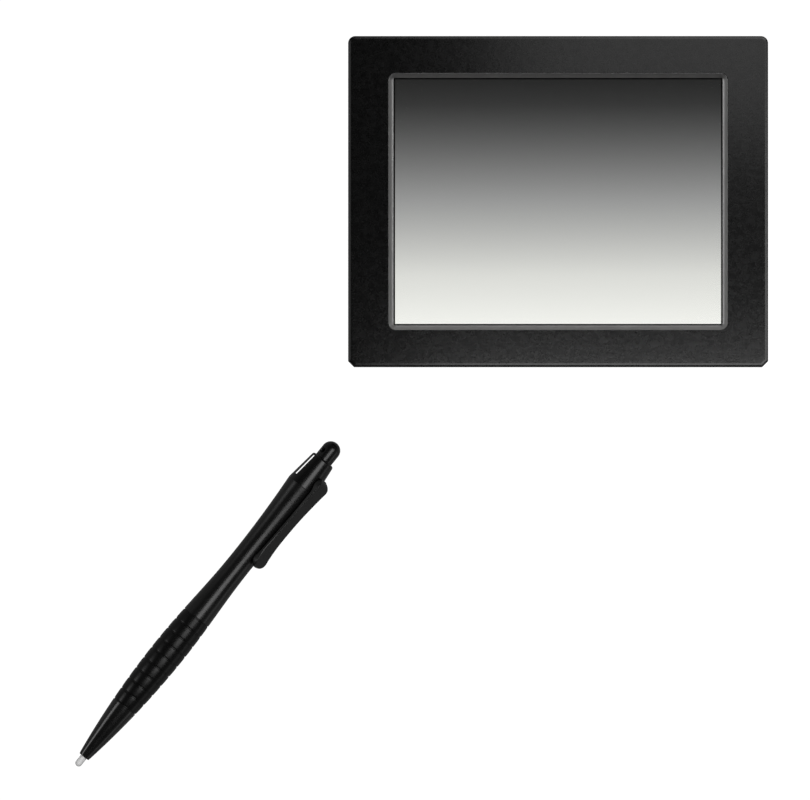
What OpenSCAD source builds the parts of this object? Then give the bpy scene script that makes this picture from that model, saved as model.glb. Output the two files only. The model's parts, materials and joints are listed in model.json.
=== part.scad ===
// Landscape touch handheld lying on its back, with its full-size pen stylus beside it.
// The origin is the middle of the rear face, +X to the right, +Y to the top edge, +Z out of the screen.

/* [Case] */
// Width of the case
case_w = 148.4; // [146:0.2:156]
// Height of the case, from its lower edge to its upper edge
case_h = 117; // [115:0.5:124]
// Wall thickness of the case
wall = 2.2; // [1.8:0.1:2.4]
// Thickness of the rear cover's floor
floor_t = 2; // [1.8:0.1:2.2]
// Radius of the two upper corners
corner_r = 2.5; // [1:0.1:4]
// Size of the 45 degree cut on the two lower corners
corner_cut = 2.1; // [1:0.1:4]
// Bevel on the front and rear edges of the case
edge = 0.8; // [0.4:0.1:1]
// Height of the joint between the rear cover and the front bezel
split_z = 11; // [10.5:0.1:11.5]

/* [Display] */
// Width of the lit picture
picture_w = 115.2; // [110:0.2:116]
// Height of the lit picture
picture_h = 86.4; // [82:0.2:87]
// Dark margin seen between the picture and the trim
margin = 0.5; // [0.3:0.1:0.8]
// Width of the sloping trim round the window
trim_w = 2.1; // [1.5:0.1:2.4]

/* [Battery] */
// Width of the battery pack
pack_w = 87.2; // [80:0.2:88]
// Height of the battery pack
pack_h = 40; // [36:0.5:40]
// Thickness of the battery pack
pack_t = 6; // [5:0.1:6]

/* [Stylus] */
// Distance of the nib's end to the left of the origin
nib_left = 170.3; // [165:0.1:180]
// Distance of the nib's end below the origin
nib_below = 199.5; // [195:0.1:210]
// Heading of the stylus, anticlockwise from +X
heading = 51.1; // [45:0.1:57]
// Length of the stylus
pen_l = 146.6; // [146:0.1:148]
// Largest radius, at the grip and at the shoulder
belly_r = 5.86; // [5.6:0.02:6]
// Radius at the waist
waist_r = 4.38; // [4.2:0.02:4.5]
// Number of rings cut in the grip
rings = 10; // [6:1:12]
// Turn of the clip about the barrel
clip_turn = 232; // [225:1:240]

/* [Hidden] */
$fn = 64;
eps = 0.01;
over = 1;

// Half sizes of the case, outside and inside
hw = case_w / 2;
hh = case_h / 2;
in_x = hw - wall;
in_y = hh - wall;

// Levels of the stack, from the board up to the front face
board_z = 9.6;
board_top = board_z + 1.2;
chassis_z = 12.4;
chassis_top = chassis_z + 0.8;
frame_z = chassis_top + 0.1;
guide_z = frame_z + 0.5;
guide_top = guide_z + 1.4;
glass_z = guide_top + 0.1;
glass_top = glass_z + 1.2;
panel_z = glass_top + 0.1;
panel_top = panel_z + 1;
gasket_top = panel_top + 0.3;
lip_z = gasket_top + 0.5;
case_t = lip_z + 1.6;

// Window
view_w = picture_w + 2 * margin;
view_h = picture_h + 2 * margin;
ring_w = view_w + 2 * trim_w;
ring_h = view_h + 2 * trim_w;
flange_w = 123;
flange_h = 94;
glass_w = 123.6;
glass_h = 94.8;
frame_w = 126;
frame_h = 97;

// Screw places
boss_x = hw - 6;
boss_y = hh - 6.2;
post_x = 58;
post_y = 38;

// Battery well in the rear cover
pack_z = floor_t + 0.1;
pack_y = -10 - pack_h / 2;
well_gap = 0.4;
well_w = pack_w + 2 * well_gap;
well_h = pack_h + 2 * well_gap;
well_top = pack_z + pack_t + 0.3;
well_skin = 0.8;
door_flange_w = well_w + 2;
door_top_y = -7;
door_t = 1.2;
door_gap = 0.15;

// Parts on the edges, at the height that the board hangs them
port_z = 7.1;
jack_x = -40;
jack_bore_r = 1.8;
power_x = 48;
power_z = 7.4;
sync_y = 12;
sync_z = 7.55;
card_y = 20;
card_z = 7.75;
card_w = 24;
card_t = 2.1;
card_l = 32.6;
mic_x = 56;
mic_z = 7;
speaker_x = -48;
speaker_y = 30;
reset_x = 10;
reset_y = 44;

// Stylus stations, measured along its axis from the nib's end
tip_u = 4.1;
grip_u = 27;
belly_u = 52;
grip_end_u = 67.5;
waist_u = 92.5;
shoulder_u = 127;
collar_u = 139.2;
tip_r = 2.05;
nib_r = 1.24;
dome_r = 3.38;
collar_top_r = 4.52;
ring_pitch = (grip_end_u - grip_u - 0.3) / (rings - 1);
clip_root_u = 131.5;
clip_root_r = 4.8;
bead_r = 0.9;
clip_end_u = 94.2;

// ---- Shared shapes ----

module block(low, high) {
    translate(low) cube(high - low);
}

module sheet(w, h, z0, z1) {
    translate([-w / 2, -h / 2, z0]) cube([w, h, z1 - z0]);
}

module at_corners(x, y) {
    for (sx = [-1, 1], sy = [-1, 1])
        translate([sx * x, sy * y, 0]) children();
}

// Outline of the case: round upper corners, cut lower corners
module case_outline(inset) {
    r = corner_r - inset * 0.8;
    c = corner_cut - inset * 0.586;
    x = hw - inset;
    y = hh - inset;
    polygon([[-x + c, -y], [x - c, -y], [x, -y + c], [x, y - r],
        [x - r, y], [-x + r, y], [-x, y - r], [-x, -y + c]]);
    for (s = [-1, 1])
        translate([s * (x - r), y - r]) circle(r);
}

module case_slab(inset, z0, z1) {
    translate([0, 0, z0]) linear_extrude(z1 - z0) case_outline(inset);
}

// A bevelled end of the case, edge thick: full outline below and the smaller one on top
module bevel_layer() {
    hull() {
        case_slab(0, 0, eps);
        case_slab(edge, 0, edge);
    }
}

// A flat cable that leaves one side at z_high, drops and comes back on the board
module flat_cable(x_start, x_out, x_end, z_high, width) {
    t = 0.2;
    z_low = board_top + 0.1;
    translate([0, width / 2, 0]) rotate([90, 0, 0]) linear_extrude(width)
        polygon([[x_start, z_high], [x_out, z_high], [x_out, z_low],
            [x_end, z_low], [x_end, z_low + t], [x_out - t, z_low + t],
            [x_out - t, z_high - t], [x_start, z_high - t]]);
}

// ---- Case ----

module front_bezel() color("#141415") {
    difference() {
        union() {
            case_slab(0, split_z, case_t - edge);
            translate([0, 0, case_t - edge]) bevel_layer();
        }
        case_slab(wall, split_z - over, lip_z);
        case_slab(wall / 2 - 0.1, split_z - over, split_z + 1.1);
        sheet(ring_w + 0.1, ring_h + 0.1, lip_z - over, case_t + over);
    }
    at_corners(boss_x, boss_y) difference() {
        translate([0, 0, chassis_top]) cylinder(r = 2.8, h = lip_z - chassis_top + eps);
        translate([0, 0, chassis_top - over]) cylinder(r = 1.05, h = 4.8 + over);
    }
}

module window_trim() color("#5c5c5e") difference() {
    union() {
        sheet(flange_w, flange_h, gasket_top, lip_z);
        sheet(ring_w, ring_h, lip_z - eps, case_t);
    }
    sheet(view_w, view_h, gasket_top - over, case_t + over);
    hull() {
        sheet(view_w, view_h, lip_z - 0.1, lip_z - 0.1 + eps);
        sheet(ring_w - 0.5, ring_h - 0.5, case_t, case_t + eps);
    }
}

module door_recess() {
    y0 = -hh - over;
    block([-door_flange_w / 2 + 0.9, y0, -over], [door_flange_w / 2 - 0.9, door_top_y, 1]);
    block([-door_flange_w / 2 - 0.2, y0, 0.5],
        [door_flange_w / 2 + 0.2, door_top_y, door_t + door_gap]);
}

module battery_well() {
    y0 = pack_y - well_h / 2;
    y1 = pack_y + well_h / 2;
    block([-well_w / 2 - 1.4, y0 - 1.4, floor_t - eps],
        [well_w / 2 + 1.4, y1 + 1.4, well_top + well_skin]);
}

module rear_cover() color("#1b1b1c") difference() {
    union() {
        difference() {
            union() {
                case_slab(0, edge, split_z);
                translate([0, 0, edge]) mirror([0, 0, 1]) bevel_layer();
            }
            case_slab(wall, floor_t, split_z + over);
        }
        difference() {
            case_slab(wall / 2, floor_t, split_z + 1);
            case_slab(wall, floor_t - over, split_z + 1 + over);
        }
        battery_well();
        at_corners(boss_x, boss_y)
            translate([0, 0, eps]) cylinder(r = 3.4, h = chassis_z - eps);
    }
    // battery well, door recess and the gap for the contacts
    block([-well_w / 2, pack_y - well_h / 2, -over], [well_w / 2, pack_y + well_h / 2, well_top]);
    door_recess();
    block([-12.4, pack_y + well_h / 2 - over, floor_t], [12.4, -4.6, well_top + well_skin + over]);
    // screw holes
    at_corners(boss_x, boss_y) {
        translate([0, 0, -over]) cylinder(r = 1.2, h = chassis_z + 2 * over);
        translate([0, 0, -over]) cylinder(r = 2.7, h = 2.2 + over);
    }
    // speaker slots and reset pinhole
    for (k = [-2:2])
        translate([speaker_x - 6, speaker_y + 2.6 * k - 0.5, -over]) cube([12, 1, floor_t + 2 * over]);
    translate([reset_x, reset_y, -over]) cylinder(r = 0.8, h = floor_t + 2 * over);
    // openings in the four walls
    translate([jack_x, in_y - over, port_z]) rotate([-90, 0, 0]) cylinder(r = 2.75, h = wall + 2 * over);
    block([power_x - 5.1, in_y - over, power_z - 1.8], [power_x + 5.1, hh + over, power_z + 1.8]);
    block([-hw - over, sync_y - 4.05, sync_z - 2.15], [-in_x + over, sync_y + 4.05, sync_z + 2.15]);
    block([in_x - over, card_y - card_w / 2 - 0.3, card_z - 1.35],
        [hw + over, card_y + card_w / 2 + 0.3, card_z + 1.35]);
    translate([hw + 6.8, card_y, -over]) cylinder(r = 8, h = card_z + over);
    translate([mic_x, -hh - over, mic_z]) rotate([-90, 0, 0]) cylinder(r = 0.6, h = wall + 2 * over);
}

module battery_door() color("#1f1f20") difference() {
    union() {
        block([-door_flange_w / 2 + 1.1, -hh, 0], [door_flange_w / 2 - 1.1, door_top_y - 0.2, door_t]);
        block([-door_flange_w / 2, -hh, 0.65], [door_flange_w / 2, door_top_y - 0.2, door_t]);
    }
    for (k = [0:4])
        block([-14, -hh + 6 + 2.2 * k, -over], [14, -hh + 7 + 2.2 * k, 0.35]);
    rotate([90, 0, 90]) translate([0, 0, -case_w / 2]) linear_extrude(case_w)
        polygon([[-hh - over, edge + over], [-hh - over, -over], [-hh + edge + over, -over]]);
}

module case_screws() color("#77787a") at_corners(boss_x, boss_y) difference() {
    union() {
        translate([0, 0, 0.5]) cylinder(r = 2.5, h = 1.6);
        translate([0, 0, 2]) cylinder(r = 1, h = 14);
    }
    for (turn = [0, 90])
        rotate([0, 0, turn]) block([-1.5, -0.3, 0], [1.5, 0.3, 1.4]);
}

// ---- Display stack ----

module panel_gasket() color("#0c0c0c") difference() {
    sheet(flange_w, flange_h, panel_top, gasket_top);
    sheet(view_w + 0.4, view_h + 0.4, panel_top - over, gasket_top + over);
}

module touch_panel() color("#b9bdbb") sheet(glass_w, glass_h, panel_z, panel_top);

module display_glass() color("#8d8f8e") sheet(glass_w, glass_h, glass_z, glass_top);

module light_guide() color("#eeeeea") sheet(120, 90.4, guide_z, guide_top);

module backlight_strip() color("#e9e6cf") {
    block([60.7, -44, guide_z + 0.1], [61.7, 44, guide_top - 0.1]);
    for (k = [-5:5])
        block([60.3, 8 * k - 1.4, guide_z + 0.3], [60.71, 8 * k + 1.4, guide_top - 0.3]);
}

module display_frame() color("#9a9c9e") difference() {
    sheet(frame_w, frame_h, frame_z, glass_top);
    sheet(frame_w - 1.4, frame_h - 1.4, frame_z + 0.4, glass_top + over);
    block([-frame_w, -11, glass_z], [-frame_w / 2 + 1.5, 11, glass_top + over]);
}

module display_cable() color("#a5662a") mirror([1, 0, 0])
    flat_cable(glass_w / 2 + 0.1, 66.2, 56, glass_top - 0.5, 20);

module touch_cable() color("#a5662a")
    flat_cable(glass_w / 2 + 0.1, 66.2, 56, panel_top - 0.3, 14);

// ---- Electronics ----

module chassis() color("#6f7375") difference() {
    union() {
        sheet(2 * in_x - 2, 2 * in_y - 2, chassis_z, chassis_top);
        at_corners(post_x, post_y)
            translate([0, 0, board_top]) cylinder(r = 2.4, h = chassis_z - board_top + eps);
    }
    at_corners(boss_x, boss_y)
        translate([0, 0, chassis_z - over]) cylinder(r = 1.3, h = 3);
    at_corners(post_x, post_y)
        translate([0, 0, board_top - over]) cylinder(r = 0.85, h = 5);
    for (s = [-1, 1])
        translate([s * (in_x - 3.2), 0, chassis_z]) cube([10, 26, 4], center = true);
    for (x = [-30, 30])
        translate([x, 0, chassis_z]) cube([34, 60, 4], center = true);
}

module main_board() color("#1f5a37") difference() {
    union() {
        sheet(138, 94, board_z, board_top);
        block([-61, 0, board_z], [61, in_y - 0.8, board_top]);
    }
    at_corners(post_x, post_y)
        translate([0, 0, board_z - over]) cylinder(r = 1.2, h = 4);
}

module board_screws() color("#8b8d8f") at_corners(post_x, post_y) {
    translate([0, 0, board_z - 0.9]) cylinder(r = 2, h = 0.9);
    translate([0, 0, board_z - eps]) cylinder(r = 0.8, h = 3.2);
}

module processor() color("#2b2b2d") {
    translate([-30, 6, board_top]) cube([20, 20, 1.1]);
    translate([-28.5, 7.5, board_top + 1.1 - eps]) cube([17, 17, 0.3]);
}

module memory_chips() color("#242426") for (x = [0, 15], y = [4, 17])
    translate([x, y, board_top]) cube([12, 9, 1]);

module shield_can() color("#b7babc") difference() {
    block([12, -34, board_top], [46, -8, board_top + 1.4]);
    block([12.3, -33.7, board_top - over], [45.7, -8.3, board_top + 1.1]);
}

module backup_cell() color("#c3c5c6") translate([-20, 14, board_z - 2.1]) {
    cylinder(r = 5.6, h = 0.5);
    translate([0, 0, 0.4]) cylinder(r = 6.25, h = 1.6);
}

module battery_pack() color("#3a3d42") difference() {
    translate([-pack_w / 2, pack_y - pack_h / 2, pack_z]) cube([pack_w, pack_h, pack_t]);
    for (k = [-1.5:1.5])
        block([5 * k - 1.4, pack_y + pack_h / 2 - 0.3, 3.6],
            [5 * k + 1.4, pack_y + pack_h / 2 + over, 6.6]);
}

module battery_contacts() color("#c8a14a") {
    block([-12, -9.4, floor_t + 0.5], [12, -5, board_z - 0.1]);
    for (k = [-1.5:1.5])
        block([5 * k - 0.8, -9.9, 4.2], [5 * k + 0.8, -9.3, 6]);
}

module speaker() color("#3c3c3e") translate([speaker_x, speaker_y, floor_t + 0.1]) {
    cylinder(r = 9, h = 3);
    translate([0, 0, 3 - eps]) cylinder(r = 5.2, h = 2.6);
}

module microphone() color("#8b8d8f") translate([mic_x, -in_y + 0.1, mic_z]) rotate([-90, 0, 0])
    cylinder(r = 2.2, h = 1.8);

// ---- Edge parts ----

module power_button() color("#2a2a2b") {
    block([power_x - 4.8, in_y - 0.35, power_z - 1.5], [power_x + 4.8, hh, power_z + 1.5]);
    block([power_x - 6, in_y - 1.1, power_z - 2.1], [power_x + 6, in_y - 0.3, power_z + 2.05]);
    block([power_x - 1.5, in_y - 3.1, power_z - 1], [power_x + 1.5, in_y - 1, power_z + 1]);
}

module power_switch() color("#4d4d50") {
    block([power_x - 3, in_y - 9.5, power_z - 1.4], [power_x + 3, in_y - 4.1, board_z - 0.05]);
    translate([power_x, in_y - 4.2, power_z]) rotate([-90, 0, 0]) cylinder(r = 1.1, h = 0.4);
}

module headphone_jack() color("#202022") difference() {
    union() {
        block([jack_x - 3.2, in_y - 12.6, port_z - 2.45], [jack_x + 3.2, in_y - 0.1, port_z + 2.45]);
        translate([jack_x, in_y - 0.2, port_z]) rotate([-90, 0, 0]) cylinder(r = 2.6, h = wall + 0.2);
    }
    translate([jack_x, in_y - 11.8, port_z]) rotate([-90, 0, 0])
        cylinder(r = jack_bore_r, h = 11.8 + wall + over);
}

module sync_socket() color("#a9abad") {
    difference() {
        block([-hw + 0.4, sync_y - 3.85, sync_z - 1.95], [-hw + 9.4, sync_y + 3.85, sync_z + 1.95]);
        block([-hw - over, sync_y - 3.45, sync_z - 1.55], [-hw + 8.4, sync_y + 3.45, sync_z + 1.55]);
    }
    block([-hw + 2, sync_y - 2.4, sync_z - 0.4], [-hw + 8.5, sync_y + 2.4, sync_z + 0.4]);
}

module card_socket() color("#9fa1a3") difference() {
    block([in_x - 32.2, card_y - 12.8, card_z - 1.8], [in_x - 0.1, card_y + 12.8, card_z + 1.8]);
    block([in_x - 31.2, card_y - 12.3, card_z - 1.3], [in_x + over, card_y + 12.3, card_z + 1.3]);
}

module card_blank() color("#262628") difference() {
    block([hw - card_l, card_y - card_w / 2, card_z - card_t / 2],
        [hw, card_y + card_w / 2, card_z + card_t / 2]);
    block([hw - 1.8, card_y - 5, card_z - card_t], [hw - 1, card_y + 5, card_z - card_t / 2 + 0.5]);
}

module reset_switch() color("#4d4d50") translate([reset_x, reset_y, 0]) difference() {
    sheet(6, 6, board_z - 2.7, board_z - 0.05);
    translate([0, 0, board_z - 3]) cylinder(r = 1.1, h = 2);
}

module reset_button() color("#c9c9c4") translate([reset_x, reset_y, board_z - 3.8])
    cylinder(r = 1, h = 2.3);

// ---- Stylus ----

// Lays a part drawn along +Z, nib at zero, on the surface with the given heading
module lay() {
    translate([-nib_left, -nib_below, belly_r]) rotate([0, 0, heading]) rotate([0, 90, 0]) children();
}

// Outer radius of the stylus at the distance u from the nib's end
function pen_r(u) =
    u < belly_u ? belly_r - (belly_r - tip_r) * pow((belly_u - u) / (belly_u - tip_u), 2)
    : u < waist_u ? waist_r + (belly_r - waist_r) * (1 + cos(180 * (u - belly_u) / (waist_u - belly_u))) / 2
    : u < shoulder_u ? waist_r + (belly_r - waist_r) * pow((u - waist_u) / (shoulder_u - waist_u), 2)
    : belly_r - (belly_r - collar_top_r) * (u - shoulder_u) / (collar_u - 1 - shoulder_u);

// Turned solid that follows the outer shape from u0 to u1
module turned(u0, u1, steps) {
    rotate_extrude() polygon(concat([[0, u0]],
        [for (k = [0:steps]) let (u = u0 + (u1 - u0) * k / steps) [pen_r(u), u]], [[0, u1]]));
}

module bore(r, u0, u1) {
    translate([0, 0, u0]) cylinder(r = r, h = u1 - u0);
}

module stylus_nib() color("#c4c5c4") lay() {
    translate([0, 0, nib_r]) sphere(r = nib_r);
    bore(nib_r, nib_r, 14);
    bore(0.7, 14 - eps, 18);
}

module nib_carrier() color("#8f9193") lay() difference() {
    union() {
        bore(nib_r, 14.1, 30);
        bore(1.9, 30 - eps, 110);
    }
    bore(0.75, 14, 19);
}

// Spring of round wire, swept along a helix by rings of points
module nib_spring() color("#b8babc") lay() {
    turns = 7;
    per_turn = 14;
    sides = 6;
    coil_r = 1.77;
    wire_r = 0.22;
    u0 = 16;
    length = 11.2;
    count = turns * per_turn;
    points = [for (i = [0:count], j = [0:sides - 1])
        let (a = 360 * i / per_turn, b = 360 * j / sides, r = coil_r + wire_r * cos(b))
        [r * cos(a), r * sin(a), u0 + length * i / count + wire_r * sin(b)]];
    walls = [for (i = [0:count - 1], j = [0:sides - 1])
        let (k = (j + 1) % sides)
        [i * sides + j, i * sides + k, (i + 1) * sides + k, (i + 1) * sides + j]];
    ends = [[for (j = [sides - 1:-1:0]) j], [for (j = [0:sides - 1]) count * sides + j]];
    polyhedron(points, concat(walls, ends));
}

module stylus_nose() color("#0f0f10") lay() difference() {
    turned(tip_u, grip_u, 10);
    bore(nib_r + 0.07, 0, 20);
    bore(2.35, 15, grip_u + over);
    bore(3.35, 20.5, grip_u + over);
}

module stylus_grip() color("#151516") lay() difference() {
    turned(grip_u + 0.05, grip_end_u - 0.05, 16);
    bore(3.95, grip_u - over, grip_end_u + over);
    for (k = [0:rings - 1])
        let (u = grip_u + 0.15 + ring_pitch * k)
        difference() {
            bore(10, u - 0.25, u + 0.25);
            bore(pen_r(u) - 0.35, u - 1, u + 1);
        }
}

module stylus_barrel() color("#121213") lay() difference() {
    union() {
        bore(3.28, 21, grip_u + 0.1);
        bore(3.9, grip_u + 0.02, grip_end_u + eps);
        turned(grip_end_u, shoulder_u - 0.05, 24);
    }
    bore(2.35, 20, 105);
    bore(3.75, 104, shoulder_u + over);
    bore(4.55, 124.4, shoulder_u + over);
}

module click_cam() color("#d8d8d2") lay() difference() {
    bore(3.2, 110.2, 115);
    for (turn = [0:60:120])
        rotate([0, 0, turn]) block([-4, -0.5, 113.8], [4, 0.5, 116]);
}

// The tether hole is drilled across the button, turned up and to the left
module click_button() color("#101011") lay() difference() {
    union() {
        bore(3.6, 115.2, 119);
        bore(dome_r, 119 - eps, pen_l - dome_r);
        translate([0, 0, pen_l - dome_r]) sphere(r = dome_r);
    }
    bore(2.2, 115, 136);
    rotate([0, 0, 132]) translate([-5, 0, 141.7]) rotate([0, 90, 0]) cylinder(r = 1.1, h = 10);
}

// Slot and outer bar for a tether on the left, round seat for the clip's bead on the right
module stylus_collar() color("#111112") lay() difference() {
    union() {
        turned(shoulder_u, collar_u - 1, 6);
        rotate_extrude() polygon([[0, collar_u - 1.01], [collar_top_r, collar_u - 1.01],
            [collar_top_r - 0.15, collar_u - 0.5], [collar_top_r - 0.6, collar_u], [0, collar_u]]);
        bore(4.5, 124.6, shoulder_u + eps);
    }
    bore(dome_r + 0.07, 124, collar_u + over);
    translate([0, 4.62, 129]) rotate([5.9, 0, 0]) block([-8, -0.31, 0], [8, 0.31, 9.3]);
    rotate([0, 0, clip_turn]) {
        block([clip_root_r, -1.8, clip_root_u - 0.85], [8, 1.8, clip_root_u + 0.85]);
        translate([clip_root_r, 0, clip_root_u]) rotate([90, 0, 0])
            cylinder(r = bead_r + 0.07, h = 3.6, center = true);
    }
}

// Drawn with the radius along +X: a side view cut to an hourglass front view
module clip_side() {
    polygon([[5.75, clip_root_u - 0.6], [5.75, clip_root_u + 1], [6, clip_root_u + 1.9],
        [7.3, clip_root_u + 1.3], [8.2, clip_root_u], [8.45, clip_root_u - 1.4],
        [8.1, clip_root_u - 3.5], [7.7, clip_root_u - 7.5], [7.25, 116], [6.95, 108], [6.85, 102.5],
        [7.1, clip_end_u + 5], [7.5, clip_end_u + 2.8], [7.2, clip_end_u + 0.8], [6.2, clip_end_u],
        [5.2, clip_end_u + 0.6], [4.6, clip_end_u + 2.4], [4.6, clip_end_u + 3.4],
        [5.65, clip_end_u + 6.4], [5.93, 112], [6.6, clip_root_u - 6], [6.6, clip_root_u - 3.6],
        [6.1, clip_root_u - 2.2]]);
}

module clip_front() {
    half = [[1.5, clip_root_u + 1.9], [2.3, clip_root_u + 1.1], [2.95, clip_root_u - 0.4],
        [2.85, clip_root_u - 6.5], [2.4, 116], [2.5, 108], [2.85, 102], [2.85, clip_end_u + 2.9]];
    translate([0, clip_end_u + 2.85]) circle(r = 2.85);
    polygon(concat([for (p = half) [-p[0], p[1]]], [for (k = [len(half) - 1:-1:0]) half[k]]));
}

module clip_strap() lay() rotate([0, 0, clip_turn]) intersection() {
    rotate([90, 0, 0]) translate([0, 0, -5]) linear_extrude(10) clip_side();
    rotate([90, 0, 90]) linear_extrude(10) clip_front();
}

// The strap, and the bead on a neck that snaps into the collar's round seat
module stylus_clip() color("#1c1c1d") {
    clip_strap();
    lay() rotate([0, 0, clip_turn]) {
        block([clip_root_r, -1.5, clip_root_u - 0.55], [6, 1.5, clip_root_u + 0.55]);
        translate([clip_root_r, 0, clip_root_u]) rotate([90, 0, 0])
            cylinder(r = bead_r, h = 3, center = true);
    }
}

front_bezel();
window_trim();
panel_gasket();
touch_panel();
touch_cable();
display_glass();
display_frame();
light_guide();
backlight_strip();
display_cable();
chassis();
main_board();
processor();
memory_chips();
shield_can();
backup_cell();
battery_contacts();
battery_pack();
battery_door();
rear_cover();
case_screws();
board_screws();
speaker();
microphone();
power_button();
power_switch();
headphone_jack();
sync_socket();
card_socket();
card_blank();
reset_switch();
reset_button();
stylus_nib();
nib_carrier();
nib_spring();
stylus_nose();
stylus_grip();
stylus_barrel();
click_cam();
click_button();
stylus_collar();
stylus_clip();
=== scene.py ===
import json
import math

import bmesh
import bpy
from mathutils import Matrix, Vector

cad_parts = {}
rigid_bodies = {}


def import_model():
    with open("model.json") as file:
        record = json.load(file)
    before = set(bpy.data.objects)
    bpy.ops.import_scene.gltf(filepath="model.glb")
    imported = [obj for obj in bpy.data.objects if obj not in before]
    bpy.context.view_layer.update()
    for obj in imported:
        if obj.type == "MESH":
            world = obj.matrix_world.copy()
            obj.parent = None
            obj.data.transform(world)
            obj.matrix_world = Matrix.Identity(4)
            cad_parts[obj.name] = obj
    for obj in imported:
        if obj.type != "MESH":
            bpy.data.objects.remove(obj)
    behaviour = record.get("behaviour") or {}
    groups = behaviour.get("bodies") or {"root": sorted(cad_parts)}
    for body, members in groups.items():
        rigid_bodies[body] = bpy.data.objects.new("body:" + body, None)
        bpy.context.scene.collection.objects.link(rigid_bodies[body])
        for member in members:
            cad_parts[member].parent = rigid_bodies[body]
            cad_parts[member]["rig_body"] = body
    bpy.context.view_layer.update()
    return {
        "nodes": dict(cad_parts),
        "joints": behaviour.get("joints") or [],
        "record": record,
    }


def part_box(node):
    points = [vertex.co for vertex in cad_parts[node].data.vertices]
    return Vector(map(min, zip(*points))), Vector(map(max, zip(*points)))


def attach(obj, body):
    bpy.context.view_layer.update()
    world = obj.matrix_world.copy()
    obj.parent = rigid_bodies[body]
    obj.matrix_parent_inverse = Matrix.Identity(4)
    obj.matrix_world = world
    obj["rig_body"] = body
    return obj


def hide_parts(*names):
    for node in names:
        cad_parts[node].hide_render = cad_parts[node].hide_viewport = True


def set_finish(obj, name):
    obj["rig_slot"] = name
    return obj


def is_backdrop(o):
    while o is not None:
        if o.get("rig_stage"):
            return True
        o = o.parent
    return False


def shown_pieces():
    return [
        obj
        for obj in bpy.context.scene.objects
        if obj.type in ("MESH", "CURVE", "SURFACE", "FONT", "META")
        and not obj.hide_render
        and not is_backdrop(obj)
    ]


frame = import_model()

# Looks of a landscape touch handheld and the pen stylus beside it. Pieces are drawn in
# millimetres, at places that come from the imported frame. Lights and camera are in metres.

MM = 0.001

# Front edge of the case: how far it is rounded down and inward
EDGE_ROUND, EDGE_REACH = 0.9, 1.5
# Case: chamfer at the seam, upper corners, lower corners, wall and the rebate in its foot
SEAM = 0.22
CORNER_R = 2.5
CORNER_CUT, CUT_VERTEX_R = 2.1, 0.45
WALL = 2.2
REBATE, REBATE_DEPTH = 1.0, 1.1
# Window: flange of the trim, its corners, how far the bezel laps over it, rim of the picture
FLANGE_T = 0.5
TRIM_CORNER_R = 2.7
LAP = Vector((0.25, 0.4))
MARGIN = 0.5
# Screw bosses
BOSS_R, BOSS_BORE_R, BOSS_LENGTH = 2.8, 1.05, 5.2
SCREW_HEAD_R = 2.5

# Stations along the stylus, from the end of the nib, and its radii there
TIP_U, GRIP_U, BELLY_U, GRIP_END_U = 4.1, 27.0, 52.0, 67.5
WAIST_U, SHOULDER_U, COLLAR_U, PEN_L = 92.5, 127.0, 139.2, 146.6
TIP_R, BELLY_R, WAIST_R, COLLAR_TOP_R = 2.05, 5.86, 4.38, 4.52
NIB_R, DOME_R = 1.24, 3.38
# Inside the stylus: the barrel's spigot and its seat for the grip, the carrier's bore, the
# end of the barrel's counterbore, the button's flange and hollow, and the gap round the button
SPIGOT_U, SPIGOT_R, GRIP_SEAT_R = 21.0, 3.26, 3.9
CARRIER_U, CARRIER_BORE_R = 15.0, 2.35
COUNTERBORE_U, COUNTERBORE_R = 124.4, 4.55
FLANGE_U, FLANGE_END_U, FLANGE_R = 115.2, 119.0, 3.6
HOLLOW_END_U, HOLLOW_R = 136.0, 2.2
BUTTON_GAP = 0.07
# Grooves of the grip, and how much the rings between them are crowned
RINGS = 10
GROOVE_W, GROOVE_D, CROWN = 0.42, 0.24, 0.05
# Clip: end of the paddle, its bead, and half the length of the bead and of its seat
CLIP_END_U = 94.2
BEAD_R, BEAD_HALF, SEAT_HALF = 0.9, 1.5, 1.8
# Tether slot in the collar, whose box leans by the taper in degrees, and the tether hole
# across the button, turned from level in degrees
SLOT_U, SLOT_R, SLOT_LOW, SLOT_HIGH, SLOT_END = 129.0, 4.62, -0.27, 0.1, 9.3
SLOT_TAPER = 5.9
TETHER_HOLE_U, TETHER_HOLE_R, TETHER_HOLE_TURN = 141.7, 0.7, 42.0
# Points round a turned piece, and the angle in degrees from which an edge is sharp
TURNS = 128
SHARP = 32
# Reach of a cutter, past anything that it cuts through
THROUGH = 8

# Brightness of the picture, of the white that the camera sees, and of the light that the
# floor and the backdrop give
PICTURE_GAIN = 1.08
WHITE, FLOOR_GLOW, HORIZON, ZENITH = 1.05, 0.22, 0.15, 0.02


# ---- What the frame says ----

def joint(name):
    return next(j for j in frame["joints"] if j["name"] == name)


def points_of(node):
    return [v.co / MM for v in frame["nodes"][node].data.vertices]


SLOT_OF = {part["node"]: part["material_slot"] for part in frame["record"]["subparts"]}

case_low, case_high = (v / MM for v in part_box("front_bezel"))
HALF_W, HALF_H, FRONT_Z, SPLIT_Z = case_high.x, case_high.y, case_high.z, case_low.z
flange_low, flange_high = (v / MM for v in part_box("window_trim"))
trim_top = [p for p in points_of("window_trim") if p.z > FRONT_Z - 0.01]
RING = Vector((max(p.x for p in trim_top) - LAP.x, max(p.y for p in trim_top) - LAP.y))
trim_low = [p for p in points_of("window_trim") if p.z < flange_low.z + 0.01]
VIEW = Vector((min(abs(p.x) for p in trim_low), min(abs(p.y) for p in trim_low)))
LIP_Z = flange_low.z + FLANGE_T
screw_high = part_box("case_screws")[1] / MM
BOSS_X, BOSS_Y = screw_high.x - SCREW_HEAD_R, screw_high.y - SCREW_HEAD_R

AXIS = Vector(joint("click_slide")["axis"])
UP = Vector((0, 0, 1))
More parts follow.
